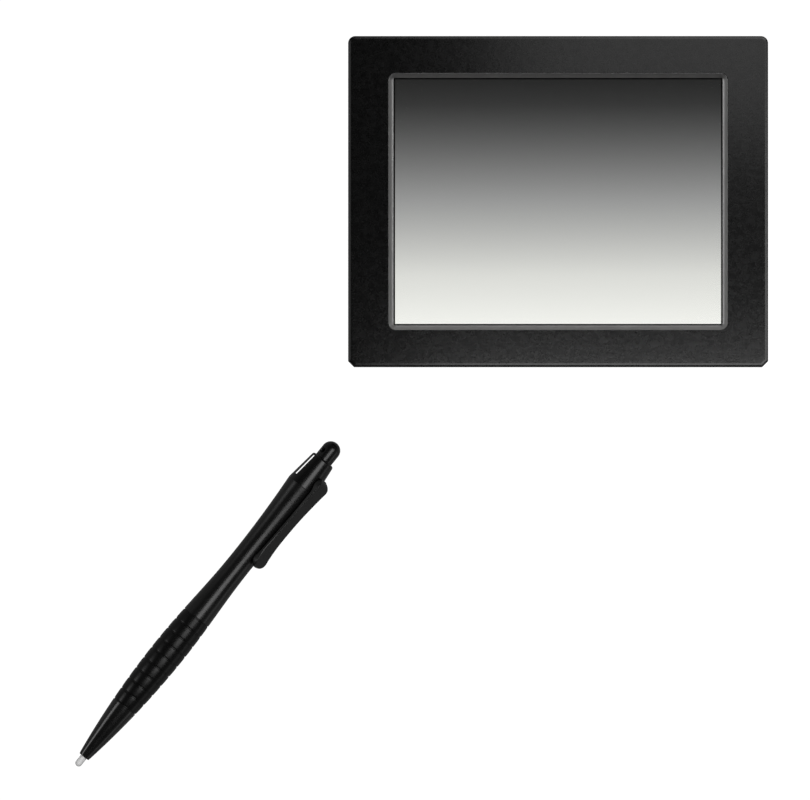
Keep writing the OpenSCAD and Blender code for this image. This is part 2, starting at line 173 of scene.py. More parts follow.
# the ball at the nib's end touches the low sides of its box, and the stylus starts at its far point
nib_low, nib_high = (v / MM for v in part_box("stylus_nib"))
nib_half = (nib_high.z - nib_low.z) / 2
NIB_END = Vector((nib_low.x + nib_half * (1 - AXIS.x), nib_low.y + nib_half * (1 - AXIS.y),
                  nib_low.z + nib_half))
root = Vector(joint("clip_flex")["pos_m"]) / MM - NIB_END
ROOT_U = root.dot(AXIS)
ROOT_R = (root - ROOT_U * AXIS).length
CLIP_OUT = (root - ROOT_U * AXIS).normalized()


CASE = Matrix.Diagonal((MM, MM, MM, 1))


def along_pen(outward):
    """Matrix from (along the stylus, across, outward) in millimetres to the row frame."""
    across = outward.cross(AXIS)
    turn = Matrix((AXIS, across, outward)).transposed().to_4x4()
    return CASE @ Matrix.Translation(NIB_END) @ turn


PEN = along_pen(UP)
CLIP = along_pen(CLIP_OUT)


# ---- Mesh helpers ----

def skin(bm, rings, closed=False):
    """Joins rings of equally many points into a tube, closed into a loop or with end faces."""
    rows = [[bm.verts.new(p) for p in ring] for ring in rings]
    pairs = list(zip(rows, rows[1:]))
    if closed:
        pairs.append((rows[-1], rows[0]))
    for a, b in pairs:
        for k in range(len(a)):
            j = (k + 1) % len(a)
            bm.faces.new((a[k], a[j], b[j], b[k]))
    if not closed:
        bm.faces.new(rows[0][::-1])
        bm.faces.new(rows[-1])


def finished(name, bm, place, sharp=SHARP):
    """Object from a mesh drawn in millimetres, with edges sharper than the angle kept sharp."""
    bmesh.ops.remove_doubles(bm, verts=bm.verts, dist=1e-5)
    bmesh.ops.recalc_face_normals(bm, faces=bm.faces)
    bmesh.ops.transform(bm, matrix=place, verts=bm.verts)
    mesh = bpy.data.meshes.new(name)
    bm.to_mesh(mesh)
    bm.free()
    mesh.shade_smooth()
    mesh.set_sharp_from_angle(angle=math.radians(sharp))
    made = bpy.data.objects.new(name, mesh)
    bpy.context.scene.collection.objects.link(made)
    return made


def full_turn(steps):
    return [2 * math.pi * k / steps for k in range(steps)]


def lathe(bm, profile, closed=True, steps=TURNS):
    """Turns the profile's (station, radius) pairs round the stylus axis."""
    turns = full_turn(steps)
    skin(bm, [[(u, r * math.cos(a), r * math.sin(a)) for a in turns] for u, r in profile], closed)


def box(bm, low, high):
    x0, y0, z0 = low
    x1, y1, z1 = high
    skin(bm, [[(x, y0, z0), (x, y1, z0), (x, y1, z1), (x, y0, z1)] for x in (x0, x1)])


def carve(obj, cutter):
    """Cuts the cutter's shape out of the object and throws the cutter away."""
    cut = obj.modifiers.new("cut", "BOOLEAN")
    cut.operation = "DIFFERENCE"
    cut.solver = "EXACT"
    cut.object = cutter
    seen = obj.evaluated_get(bpy.context.evaluated_depsgraph_get())
    mesh = bpy.data.meshes.new_from_object(seen)
    obj.modifiers.clear()
    obj.data = mesh
    mesh.set_sharp_from_angle(angle=math.radians(SHARP))
    bpy.data.objects.remove(cutter)


def soften(obj, width, segments=2, angle=SHARP):
    """Small rounded edges wherever the surface turns by more than the angle."""
    bevel = obj.modifiers.new("soft_edges", "BEVEL")
    bevel.width = width * MM
    bevel.segments = segments
    bevel.limit_method = "ANGLE"
    bevel.angle_limit = math.radians(angle)
    bevel.miter_outer = "MITER_ARC"
    even(obj)


def even(obj):
    """Lets the large flat faces set the shading at the rounded edges."""
    obj.modifiers.new("even_normals", "WEIGHTED_NORMAL").keep_sharp = True


def corner(x, y, cut, radius, steps=6):
    """Upper right corner, cut at 45 degrees with both vertices rounded, anticlockwise."""
    reach = radius * math.tan(math.pi / 8)
    points = []
    centres = ((x - radius, y - cut - reach), (x - cut - reach, y - radius))
    for half, (cx, cy) in enumerate(centres):
        for k in range(steps + 1):
            a = math.pi / 4 * (half + k / steps)
            points.append((cx + radius * math.cos(a), cy + radius * math.sin(a)))
    return points


# 45-degree cut that the corner above turns into a plain round one, per unit of radius
ROUND_CUT = 2 - math.sqrt(2)


def outline(half_x, half_y, z, top, bottom, inset=0.0):
    """Ring of points at height z. top and bottom are each (cut, vertex radius) of the corners;
    a plain round corner of radius r is (r * ROUND_CUT, r)."""
    def fitted(cut, radius):
        smaller_cut, smaller_radius = cut - inset * ROUND_CUT, max(radius - inset, 0.05)
        return corner(half_x - inset, half_y - inset, smaller_cut, smaller_radius)

    upper, lower = fitted(*top), fitted(*bottom)
    ring = [(x, -y) for x, y in lower[::-1]] + upper
    ring += [(-x, y) for x, y in upper[::-1]] + [(-x, -y) for x, y in lower]
    return [(x, y, z) for x, y in ring]


def rounded(half_x, half_y, z, radius, inset=0.0):
    both = (radius * ROUND_CUT, radius)
    return outline(half_x, half_y, z, both, both, inset)


def arc(start, end, steps):
    return [math.radians(start + (end - start) * k / steps) for k in range(steps + 1)]


def show(obj, node):
    """The piece stands for the CAD node, moves with its body and takes its material slot."""
    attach(obj, frame["nodes"][node]["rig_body"])
    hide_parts(node)
    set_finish(obj, SLOT_OF[node])
    return obj


# ---- Case pieces ----

def front_bezel():
    """Broad frame round the window: rounded outer edge, seam chamfer, lip, walls and bosses."""
    def case(inset, z):
        top = (CORNER_R * ROUND_CUT, CORNER_R)
        return outline(HALF_W, HALF_H, z, top, (CORNER_CUT, CUT_VERTEX_R), inset)

    def opening(spare, z):
        return rounded(RING.x + 0.05 + spare, RING.y + 0.05 + spare, z, TRIM_CORNER_R + spare)

    bm = bmesh.new()
    rings = [case(REBATE, SPLIT_Z), case(SEAM, SPLIT_Z), case(SEAM / 3, SPLIT_Z + SEAM / 3),
             case(0, SPLIT_Z + SEAM)]
    for a in arc(0, 90, 8):
        rings.append(case(EDGE_REACH * (1 - math.cos(a)), FRONT_Z - EDGE_ROUND * (1 - math.sin(a))))
    inner_edge = 0.12
    for a in arc(90, 0, 3):
        rings.append(opening(inner_edge * (1 - math.cos(a)), FRONT_Z - inner_edge * (1 - math.sin(a))))
    rings += [opening(0, LIP_Z), case(WALL, LIP_Z), case(WALL, SPLIT_Z + REBATE_DEPTH),
              case(REBATE, SPLIT_Z + REBATE_DEPTH)]
    skin(bm, rings, closed=True)
    for sx in (-1, 1):
        for sy in (-1, 1):
            tube = []
            for r, z in ((BOSS_R, LIP_Z - BOSS_LENGTH), (BOSS_R, LIP_Z),
                         (BOSS_BORE_R, LIP_Z), (BOSS_BORE_R, LIP_Z - BOSS_LENGTH)):
                tube.append([(sx * BOSS_X + r * math.cos(a), sy * BOSS_Y + r * math.sin(a), z)
                             for a in full_turn(48)])
            skin(bm, tube, closed=True)
    bezel = finished("bezel_frame", bm, CASE)
    even(bezel)
    return show(bezel, "front_bezel")


def window_trim():
    """Grey ring that slopes down to the window, with a flange clamped under the bezel's lip."""
    bm = bmesh.new()
    inner_z = LIP_Z - 0.15
    rings = [rounded(flange_high.x, flange_high.y, z, 0.6) for z in (flange_low.z, LIP_Z)]
    rings.append(rounded(RING.x, RING.y, LIP_Z, TRIM_CORNER_R))
    step_down, edge = 0.08, 0.1
    for a in arc(0, 90, 4):
        z = FRONT_Z - step_down - edge * (1 - math.sin(a))
        rings.append(rounded(RING.x, RING.y, z, TRIM_CORNER_R, edge * (1 - math.cos(a))))
    # the slope sags a little between its two edges
    slope_top, slope_low = 0.14, min(RING.x - VIEW.x, RING.y - VIEW.y) - 0.3
    deepest_sag = 0.1
    for k in range(6):
        share = k / 5
        inset = slope_top + (slope_low - slope_top) * share
        sag = deepest_sag * math.sin(math.pi * share)
        z = FRONT_Z - 0.09 + (inner_z + 0.35 - FRONT_Z) * share - sag
        rings.append(rounded(RING.x, RING.y, z, TRIM_CORNER_R, inset))
    for spare, z in ((0.16, inner_z + 0.2), (0.0, inner_z), (0.0, flange_low.z)):
        rings.append(rounded(VIEW.x + spare, VIEW.y + spare, z, 0.3))
    skin(bm, rings, closed=True)
    ring = finished("window_ring", bm, CASE, sharp=50)
    even(ring)
    return show(ring, "window_trim")


# ---- Stylus pieces ----

def pen_r(u):
    """Outer radius of the stylus at station u."""
    if u < BELLY_U:
        return BELLY_R - (BELLY_R - TIP_R) * ((BELLY_U - u) / (BELLY_U - TIP_U)) ** 2
    if u < WAIST_U:
        swing = math.cos(math.pi * (u - BELLY_U) / (WAIST_U - BELLY_U))
        return WAIST_R + (BELLY_R - WAIST_R) * (1 + swing) / 2
    if u < SHOULDER_U:
        return WAIST_R + (BELLY_R - WAIST_R) * ((u - WAIST_U) / (SHOULDER_U - WAIST_U)) ** 2
    return BELLY_R - (BELLY_R - COLLAR_TOP_R) * (u - SHOULDER_U) / (COLLAR_U - 1 - SHOULDER_U)


def stylus_nib():
    """Rounded soft nib with a thin pin at its root."""
    bm = bmesh.new()
    root_u, pin_u, pin_r = 14, 18, 0.7
    profile = [(NIB_R * (1 - math.sin(a)), NIB_R * math.cos(a)) for a in arc(90, 0, 12)]
    profile += [(9, NIB_R), (root_u - 0.2, NIB_R), (root_u, NIB_R - 0.2), (root_u, pin_r)]
    profile += [(pin_u - 0.1, pin_r), (pin_u, pin_r - 0.1), (pin_u, 0)]
    lathe(bm, profile, closed=False, steps=48)
    return show(finished("nib_tip", bm, PEN), "stylus_nib")


def stylus_nose():
    """Glossy cone with a rolled mouth round the nib."""
    bm = bmesh.new()
    mouth = NIB_R + 0.1
    rim = 0.22
    profile = [(TIP_U + rim * (1 - math.sin(a)), mouth + rim * (1 + math.cos(a)))
               for a in arc(180, 90, 4)]
    profile += [(TIP_U + rim * (1 - math.sin(a)), TIP_R - rim * (1 - math.cos(a)))
                for a in arc(90, 0, 4)]
    for k in range(1, 24):
        u = TIP_U + rim + (GRIP_U - TIP_U - rim) * k / 24
        profile.append((u, pen_r(u)))
    end_r = pen_r(GRIP_U)
    profile += [(GRIP_U - 0.12, end_r - 0.02), (GRIP_U - 0.03, end_r - 0.08), (GRIP_U, end_r - 0.2)]
    socket_r, socket_u = SPIGOT_R + 0.1, SPIGOT_U - 0.5
    profile += [(GRIP_U, socket_r), (socket_u, socket_r), (socket_u, CARRIER_BORE_R),
                (CARRIER_U, CARRIER_BORE_R), (CARRIER_U, mouth)]
    lathe(bm, profile)
    return show(finished("nose_cone", bm, PEN), "stylus_nose")


def stylus_grip():
    """Grip sleeve whose grooves leave rounded, slightly crowned rings."""
    bm = bmesh.new()
    start, end = GRIP_U + 0.03, GRIP_END_U - 0.03
    bore_r = GRIP_SEAT_R + 0.05
    first, floor_half = GRIP_U + 0.15, 0.14
    pitch = (GRIP_END_U - GRIP_U - 0.3) / (RINGS - 1)
    # where a ring's outline has its points, as shares of its width, with its edges rounded off
    half_ring = (0, 0.015, 0.05, 0.11, 0.2, 0.35)
    shares = (*half_ring, 0.5, *(1 - share for share in reversed(half_ring)))
    round_share, round_drop = 0.05, 0.07
    profile = [(start, bore_r)]
    for k in range(RINGS):
        groove = first + pitch * k
        floor_r = pen_r(groove) - GROOVE_D
        profile += [(max(groove - floor_half, start), floor_r), (groove + floor_half, floor_r)]
        if k == RINGS - 1:
            break
        low, high = groove + GROOVE_W / 2, groove + pitch - GROOVE_W / 2
        for share in shares:
            u = low + (high - low) * share
            rounding = max(0, 1 - min(share, 1 - share) / round_share)
            drop = CROWN * (2 * share - 1) ** 2 + round_drop * rounding ** 2
            profile.append((u, pen_r(u) - drop))
    profile += [(end, pen_r(end) - GROOVE_D), (end, bore_r)]
    lathe(bm, profile)
    return show(finished("grip_rings", bm, PEN, sharp=55), "stylus_grip")


def stylus_barrel():
    """Long satin barrel that narrows at the waist and swells to the shoulder."""
    bm = bmesh.new()
    bore_r, flange_bore_r = CARRIER_BORE_R + 0.01, FLANGE_R + 0.15
    seat_u, step_u = GRIP_U + 0.02, 105
    profile = [(SPIGOT_U, bore_r), (SPIGOT_U, SPIGOT_R), (seat_u, SPIGOT_R), (seat_u, GRIP_SEAT_R)]
    first_r = pen_r(GRIP_END_U)
    profile += [(GRIP_END_U, GRIP_SEAT_R), (GRIP_END_U, first_r - 0.25),
                (GRIP_END_U + 0.05, first_r - 0.1), (GRIP_END_U + 0.18, first_r - 0.02)]
    steps = 72
    for k in range(1, steps):
        u = GRIP_END_U + 0.2 + (SHOULDER_U - GRIP_END_U - 0.4) * k / steps
        profile.append((u, pen_r(u)))
    profile += [(SHOULDER_U - 0.1, BELLY_R - 0.02), (SHOULDER_U - 0.03, BELLY_R - 0.06),
                (SHOULDER_U, BELLY_R - 0.2), (SHOULDER_U, COUNTERBORE_R)]
    profile += [(COUNTERBORE_U, COUNTERBORE_R), (COUNTERBORE_U, flange_bore_r),
                (step_u, flange_bore_r), (step_u - 0.5, bore_r)]
    lathe(bm, profile)
    return show(finished("barrel_tube", bm, PEN), "stylus_barrel")


def click_button():
    """Hollow click button with a domed end and the tether hole across it."""
    bm = bmesh.new()
    edge = 0.1
    profile = [(FLANGE_U, HOLLOW_R), (FLANGE_U, FLANGE_R - edge), (FLANGE_U + edge, FLANGE_R),
               (FLANGE_END_U - edge, FLANGE_R), (FLANGE_END_U, FLANGE_R - edge), (FLANGE_END_U, DOME_R)]
    profile += [(FLANGE_END_U + 1 + 2.3 * k, DOME_R) for k in range(10)]
    centre = PEN_L - DOME_R
    profile += [(centre + DOME_R * math.sin(a), DOME_R * math.cos(a)) for a in arc(0, 90, 18)]
    lathe(bm, profile + [(PEN_L, 0), (HOLLOW_END_U, 0), (HOLLOW_END_U, HOLLOW_R)])
    dome = finished("click_dome", bm, PEN)
    turn = math.radians(TETHER_HOLE_TURN)
    way = Vector((0, math.cos(turn), math.sin(turn)))
    aside = Vector((0, -math.sin(turn), math.cos(turn)))
    # a straight hole whose mouths widen outward
    cutter = bmesh.new()
    rings = []
    straight, outside, outside_r = DOME_R - 0.55, 6, 3.6
    for reach, r in ((-outside, outside_r), (-straight, TETHER_HOLE_R),
                     (straight, TETHER_HOLE_R), (outside, outside_r)):
        middle = Vector((TETHER_HOLE_U, 0, 0)) + reach * way
        rings.append([middle + r * math.cos(a) * Vector((1, 0, 0)) + r * math.sin(a) * aside
                      for a in full_turn(48)])
    skin(cutter, rings)
    carve(dome, finished("hole_cutter", cutter, PEN))
    soften(dome, 0.16, segments=3)
    return show(dome, "click_button")


def bead_ends(r, half):
    """End rings of a short rod across the stylus, on the clip's pivot."""
    return [[(ROOT_U + r * math.cos(a), y, ROOT_R + r * math.sin(a)) for a in full_turn(24)]
            for y in (-half, half)]


def stylus_collar():
    """Tapered collar: a tether slot behind a slim bar on the left, the clip's seat on the right."""
    bm = bmesh.new()
    bore_r, plug_u, plug_r = DOME_R + BUTTON_GAP, COUNTERBORE_U + 0.2, COUNTERBORE_R - 0.05
    profile = [(plug_u, bore_r), (plug_u, plug_r), (SHOULDER_U, plug_r), (SHOULDER_U, BELLY_R - 0.2),
               (SHOULDER_U + 0.03, BELLY_R - 0.06), (SHOULDER_U + 0.1, BELLY_R - 0.02)]
    for k in range(1, 12):
        u = SHOULDER_U + (COLLAR_U - 1 - SHOULDER_U) * k / 12
        profile.append((u, pen_r(u)))
    end_round = 0.95
    for a in arc(0, 90, 8):
        profile.append((COLLAR_U - end_round * (1 - math.sin(a)),
                        COLLAR_TOP_R - end_round * (1 - math.cos(a))))
    profile.append((COLLAR_U - 0.05, bore_r))
    lathe(bm, profile)
    collar = finished("collar_cap", bm, PEN)
    # the tether slot follows the collar's taper
    slot = bmesh.new()
    box(slot, (0.3, SLOT_LOW, -THROUGH), (SLOT_END, SLOT_HIGH, THROUGH))
    lean = Matrix.Rotation(-math.radians(SLOT_TAPER), 4, "Z")
    place = Matrix.Translation((SLOT_U, SLOT_R, 0)) @ lean
    bmesh.ops.transform(slot, matrix=place, verts=slot.verts)
    carve(collar, finished("slot_cutter", slot, PEN))
    # the clip's bead snaps into a round seat, through a narrower way in
    way_half = BEAD_R - 0.05
    way_in = bmesh.new()
    box(way_in, (ROOT_U - way_half, -SEAT_HALF, ROOT_R), (ROOT_U + way_half, SEAT_HALF, THROUGH))
    carve(collar, finished("way_in_cutter", way_in, CLIP))
    seat = bmesh.new()
    skin(seat, bead_ends(BEAD_R + 0.07, SEAT_HALF))
    carve(collar, finished("seat_cutter", seat, CLIP))
    soften(collar, 0.09)
    return show(collar, "stylus_collar")


def between(knots, u):
    """Smooth curve through (station, value) knots."""
    slopes = []
    for k in range(len(knots)):
        (u0, a), (u1, b) = knots[max(k - 1, 0)], knots[min(k + 1, len(knots) - 1)]
        slopes.append((b - a) / (u1 - u0))
    for k, ((u0, a), (u1, b)) in enumerate(zip(knots, knots[1:])):
        if u <= u1:
            gap = u1 - u0
            t = max(0, (u - u0) / gap)
            start = a * (1 + 2 * t) * (1 - t) ** 2 + slopes[k] * gap * t * (1 - t) ** 2
            return start + b * t * t * (3 - 2 * t) + slopes[k + 1] * gap * t * t * (t - 1)
    return knots[-1][1]


# Strap sections from the paddle's end to the root: outer and inner heights and half widths
CLIP_OUTER = [(CLIP_END_U, 6.3), (94.9, 7.15), (97, 7.5), (99.5, 7.1), (102.5, 6.87), (108, 6.95),
              (116, 7.25), (124, 7.7), (128, 8.1), (130.2, 8.4), (131.4, 8.2), (132.5, 7.5), (133.4, 6.2)]
CLIP_INNER = [(CLIP_END_U, 6.1), (94.9, 5.2), (96.6, 4.62), (97.6, 4.62), (100.6, 5.6), (104, 5.75),
              (112, 5.93), (124, 6.52), (127.9, 6.6), (129.5, 6.1), (130.9, 5.8), (132.6, 5.78),
              (133.4, 5.95)]
CLIP_HALF = [(97, 2.85), (99.5, 2.88), (102, 2.82), (105, 2.6), (110, 2.42), (116, 2.4), (120, 2.55),
             (125, 2.85), (129, 2.95), (131.3, 2.9), (132.5, 2.3), (133.4, 1.5)]
# Corner radii of the sections: the outer ones, lower and upper, and those next to the barrel
CLIP_EDGE = 0.3
CLIP_UPPER_EDGE = [(98, 0.3), (99.5, 0.8), (108, 0.8), (114, 0.35), (133.4, 0.3)]
CLIP_FOOT_EDGE = [(CLIP_END_U, 1.2), (98.5, 1.3), (101, 0.35), (133.4, 0.3)]


def stylus_clip():
    """Springy strap: rounded shoulder, slim middle, round paddle with a foot, bead in its seat."""
    bm = bmesh.new()
    end_r = CLIP_HALF[0][1]
    stations = [CLIP_END_U + 0.02 + end_r * (1 - math.cos(a)) for a in arc(0, 90, 14)]
    # wide steps along the strap, narrow ones round its shoulder
    stations += [97.2 + 0.6 * k for k in range(55)] + [129.9 + 0.25 * k for k in range(15)]
    rings = []
    for u in stations:
        outer, inner = between(CLIP_OUTER, u), between(CLIP_INNER, u)
        half = between(CLIP_HALF, u)
        if u < CLIP_END_U + end_r:
            half = math.sqrt(max(end_r ** 2 - (CLIP_END_U + end_r - u) ** 2, 0.05))
        edge = min(CLIP_EDGE, 0.45 * (outer - inner), 0.45 * half)
        upper_edge = min(between(CLIP_UPPER_EDGE, u), outer - inner - edge, 0.45 * half)
        foot_edge = min(between(CLIP_FOOT_EDGE, u), outer - inner - upper_edge - 0.02, 0.6 * half)
        middle, thick = (outer + inner) / 2, (outer - inner) / 2
        ring = []
        corners = ((1, 1, upper_edge), (-1, 1, edge), (-1, -1, foot_edge), (1, -1, foot_edge))
        for quarter, (sy, sz, r) in enumerate(corners):
            for a in arc(90 * quarter, 90 * quarter + 90, 6):
                across = sy * (half - r) + r * math.cos(a)
                ring.append((u, across, middle + sz * (thick - r) + r * math.sin(a)))
        rings.append(ring)
    skin(bm, rings)
    # neck between the strap and its bead
    neck_half, neck_top = 0.55, 6.2
    box(bm, (ROOT_U - neck_half, -BEAD_HALF, ROOT_R), (ROOT_U + neck_half, BEAD_HALF, neck_top))
    skin(bm, bead_ends(BEAD_R, BEAD_HALF))
    return show(finished("clip_strap", bm, CLIP, sharp=60), "stylus_clip")


# ---- Materials ----

class Paint:
    """A node material round one Principled shader. Constants sit on the shader's own sockets."""

    def __init__(self, name, color, roughness, **constants):
        self.name = name
        self.material = bpy.data.materials.new(name)
        self.material.use_nodes = True
        self.nodes = self.material.node_tree.nodes
        self.links = self.material.node_tree.links
        self.shader = self.nodes["Principled BSDF"]
        self.color, self.normal = color, None
        self.shader.inputs["Base Color"].default_value = (*color, 1)
        self.shader.inputs["Roughness"].default_value = roughness
        for socket, value in constants.items():
            self.shader.inputs[socket.replace("_", " ")].default_value = value
        self.place = self.node("ShaderNodeTexCoord").outputs["Object"]

    def node(self, kind, **settings):
        made = self.nodes.new(kind)
        for key, value in settings.items():
            setattr(made, key, value)
        return made

    def noise(self, size, detail=3, stretch=(1, 1, 1)):
        """Noise whose features are about size millimetres across."""
        spread = self.node("ShaderNodeMapping")
        spread.inputs["Scale"].default_value = [s / (size * MM) for s in stretch]
        self.links.new(self.place, spread.inputs["Vector"])
        noise = self.node("ShaderNodeTexNoise")
        noise.inputs["Scale"].default_value = 1
        noise.inputs["Detail"].default_value = detail
        noise.inputs["Roughness"].default_value = 0.55
        self.links.new(spread.outputs["Vector"], noise.inputs["Vector"])
        return noise.outputs["Fac"]

    def span(self, fac, low, high, start=0.3, end=0.7):
        """Value that runs from low to high while the factor runs from start to end."""
        reach = self.node("ShaderNodeMapRange")
        for socket, value in {"From Min": start, "From Max": end, "To Min": low, "To Max": high}.items():
            reach.inputs[socket].default_value = value
        self.links.new(fac, reach.inputs["Value"])
        return reach.outputs["Result"]

    def tint(self, fac, dark, light, start=0.3, end=0.7):
        """Colour from dark to light times the base colour."""
        mix = self.node("ShaderNodeMix", data_type="RGBA")
        mix.inputs["A"].default_value = (*[c * dark for c in self.color], 1)
        mix.inputs["B"].default_value = (*[c * light for c in self.color], 1)
        self.links.new(self.span(fac, 0, 1, start, end), mix.inputs["Factor"])
        self.links.new(mix.outputs["Result"], self.shader.inputs["Base Color"])
        return self

    def gloss(self, fac, low, high):
        """Roughness between low and high."""
        self.links.new(self.span(fac, low, high), self.shader.inputs["Roughness"])
        return self

    def bump(self, fac, depth):
        """Relief of the given depth in millimetres, on top of any that is there already."""
        relief = self.node("ShaderNodeBump")
        relief.inputs["Strength"].default_value = 1
        relief.inputs["Distance"].default_value = depth * MM
        self.links.new(fac, relief.inputs["Height"])
        if self.normal:
            self.links.new(self.normal, relief.inputs["Normal"])
        self.normal = relief.outputs["Normal"]
        self.links.new(self.normal, self.shader.inputs["Normal"])
        return self


def grey(value, warm=0.0):
    """Neutral colour, or a slightly warm one."""
    return (value * (1 + warm), value, value * (1 - warm))


def bezel_black():
    """Moulded case plastic: soft leathery mottle with a faint sideways brush."""
    paint = Paint("bezel_black", grey(0.0015), 0.27)
    mottle = paint.noise(1.6, detail=4)
    streak = paint.noise(1.1, detail=3, stretch=(0.22, 1, 1))
    paint.tint(paint.noise(2.5, detail=4), 0, 2.2)
    paint.gloss(mottle, 0.24, 0.3)
    paint.bump(mottle, 0.03).bump(streak, 0.012).bump(paint.noise(0.25, detail=2), 0.002)
    return paint


def cover_black():
    """Rear cover: fine spark-eroded texture."""
    paint = Paint("cover_black", grey(0.012), 0.5)
    paint.tint(paint.noise(14, detail=3), 0.75, 1.3)
    paint.gloss(paint.noise(1.6), 0.44, 0.58)
    paint.bump(paint.noise(0.35, detail=3), 0.02).bump(paint.noise(1.4, detail=2), 0.015)
    return paint


def moulded(name, tone, roughness, grain=0.3, depth=0.006, blotch=6.0, **constants):
    """Plain moulded plastic with a fine skin and slight blotches in tone and gloss."""
    paint = Paint(name, tone, roughness, **constants)
    paint.tint(paint.noise(blotch, detail=3), 0.85, 1.15)
    paint.gloss(paint.noise(blotch / 3), roughness * 0.9, min(roughness * 1.12, 1))
    return paint.bump(paint.noise(grain, detail=2), depth)


def trim_grey():
    """Satin grey plastic with a slightly uneven skin."""
    paint = Paint("trim_grey", grey(0.075, 0.01), 0.4)
    paint.tint(paint.noise(5, detail=3), 0.9, 1.1)
    paint.gloss(paint.noise(1.2), 0.34, 0.46)
    return paint.bump(paint.noise(0.5, detail=3), 0.006)


def pen_black(name, tone, roughness, grain, depth, **constants):
    """Black stylus plastic with a very shallow unevenness."""
    paint = Paint(name, grey(tone), roughness, **constants)
    paint.tint(paint.noise(4, detail=3), 0.8, 1.25)
    paint.gloss(paint.noise(2.5), roughness * 0.94, roughness * 1.06)
    return paint.bump(paint.noise(grain, detail=1), depth)


def sheet_metal(name, tone, roughness, stretch, **constants):
    """Metal with drawn streaks along one direction."""
    paint = Paint(name, tone, roughness, Metallic=1.0, **constants)
    streaks = paint.noise(0.6, detail=4, stretch=stretch)
    paint.tint(paint.noise(7, detail=3), 0.85, 1.1)
    paint.gloss(streaks, roughness * 0.8, roughness * 1.25)
    return paint.bump(streaks, 0.006)


def nib_grey():
    """Milky nib that lets light through."""
    paint = Paint("nib_grey", grey(0.85), 0.42, Subsurface_Weight=0.6, Subsurface_Scale=MM)
    paint.shader.inputs["Subsurface Radius"].default_value = (2.0, 2.0, 2.0)
    paint.tint(paint.noise(1.5, detail=3), 0.9, 1.05)
    return paint.bump(paint.noise(0.8, detail=2), 0.006)


def panel_clear():
    """Clear touch panel with a coating that holds reflections back."""
    paint = Paint("panel_clear", (0.97, 0.98, 0.97), 0.02, Transmission_Weight=1.0,
                  Specular_IOR_Level=0.15)
    paint.gloss(paint.noise(8, detail=3), 0.0, 0.03)
    return paint


def picture():
    """Lit picture: a plain gradient, dark at the top and nearly white at the bottom, which ends
    in a dark margin."""
    paint = Paint("picture", grey(0.02), 0.12)
    half_w, half_h = (VIEW.x - MARGIN) * MM, (VIEW.y - MARGIN) * MM
    parts = paint.node("ShaderNodeSeparateXYZ")
    paint.links.new(paint.place, parts.inputs["Vector"])
    ramp = paint.node("ShaderNodeValToRGB")
    # place, brightness as the eye sees it, warmth
    stops = [(0, 0.165, 0), (0.1, 0.22, 0), (0.5, 0.596, 0), (0.8, 0.855, 0.012), (1, 0.949, 0.012)]
    while len(ramp.color_ramp.elements) < len(stops):
        ramp.color_ramp.elements.new(0.5)
    for element, (place, value, warm) in zip(ramp.color_ramp.elements, stops):
        element.position = place
        element.color = (value * (1 + warm / 2), value * (1 + warm / 2), value * (1 - warm), 1)
    down = paint.span(parts.outputs["Y"], 0, 1, half_h, -half_h)
    paint.links.new(down, ramp.inputs["Fac"])
    lit = paint.node("ShaderNodeGamma")
    lit.inputs["Gamma"].default_value = 2.2
    paint.links.new(ramp.outputs["Color"], lit.inputs["Color"])
    across = paint.node("ShaderNodeMath", operation="MULTIPLY")
    across.inputs[1].default_value = PICTURE_GAIN
    both = paint.node("ShaderNodeMath", operation="MULTIPLY")
    paint.links.new(across.outputs[0], both.inputs[1])
    for way, half, taker in (("X", half_w, across), ("Y", half_h, both)):
        size = paint.node("ShaderNodeMath", operation="ABSOLUTE")
        inside = paint.node("ShaderNodeMath", operation="LESS_THAN")
        inside.inputs[1].default_value = half
        paint.links.new(parts.outputs[way], size.inputs[0])
        paint.links.new(size.outputs[0], inside.inputs[0])
        paint.links.new(inside.outputs[0], taker.inputs[0])
    paint.links.new(lit.outputs["Color"], paint.shader.inputs["Emission Color"])
    paint.links.new(both.outputs[0], paint.shader.inputs["Emission Strength"])
    return paint


def board_green():
    """Solder mask with copper tracks showing through as lighter lines."""
    paint = Paint("board_green", (0.02, 0.11, 0.045), 0.3)
    tracks = paint.node("ShaderNodeTexBrick")
    tracks.inputs["Scale"].default_value = 260
    tracks.inputs["Mortar Size"].default_value = 0.04
    paint.links.new(paint.place, tracks.inputs["Vector"])
    paint.tint(tracks.outputs["Fac"], 1.0, 1.9, 0, 1)
    return paint.gloss(paint.noise(2), 0.22, 0.38).bump(tracks.outputs["Fac"], 0.02)


def flex_amber():
    """Amber film with conductors running along it."""
    paint = Paint("flex_amber", (0.38, 0.15, 0.03), 0.25)
    lines = paint.node("ShaderNodeTexWave", bands_direction="Y")
    lines.inputs["Scale"].default_value = 300
    paint.links.new(paint.place, lines.inputs["Vector"])
    paint.tint(lines.outputs["Fac"], 0.7, 1.4)
    return paint.bump(lines.outputs["Fac"], 0.015)


def pack_grey():
    """Shrink film drawn tight, with long shallow creases and painted shade: darker in the hollows of the
    creases, lighter on their ridges.
    """
    paint = Paint("pack_grey", (0.045, 0.05, 0.06), 0.3)
    creases_and_shade = paint.noise(6, detail=3, stretch=(0.25, 1, 1))
    # tone follows the creases: painted shade, darker in their hollows and lighter on their ridges
    paint.tint(creases_and_shade, 0.8, 1.25)
    return paint.gloss(creases_and_shade, 0.22, 0.4).bump(creases_and_shade, 0.08).bump(paint.noise(0.5), 0.004)


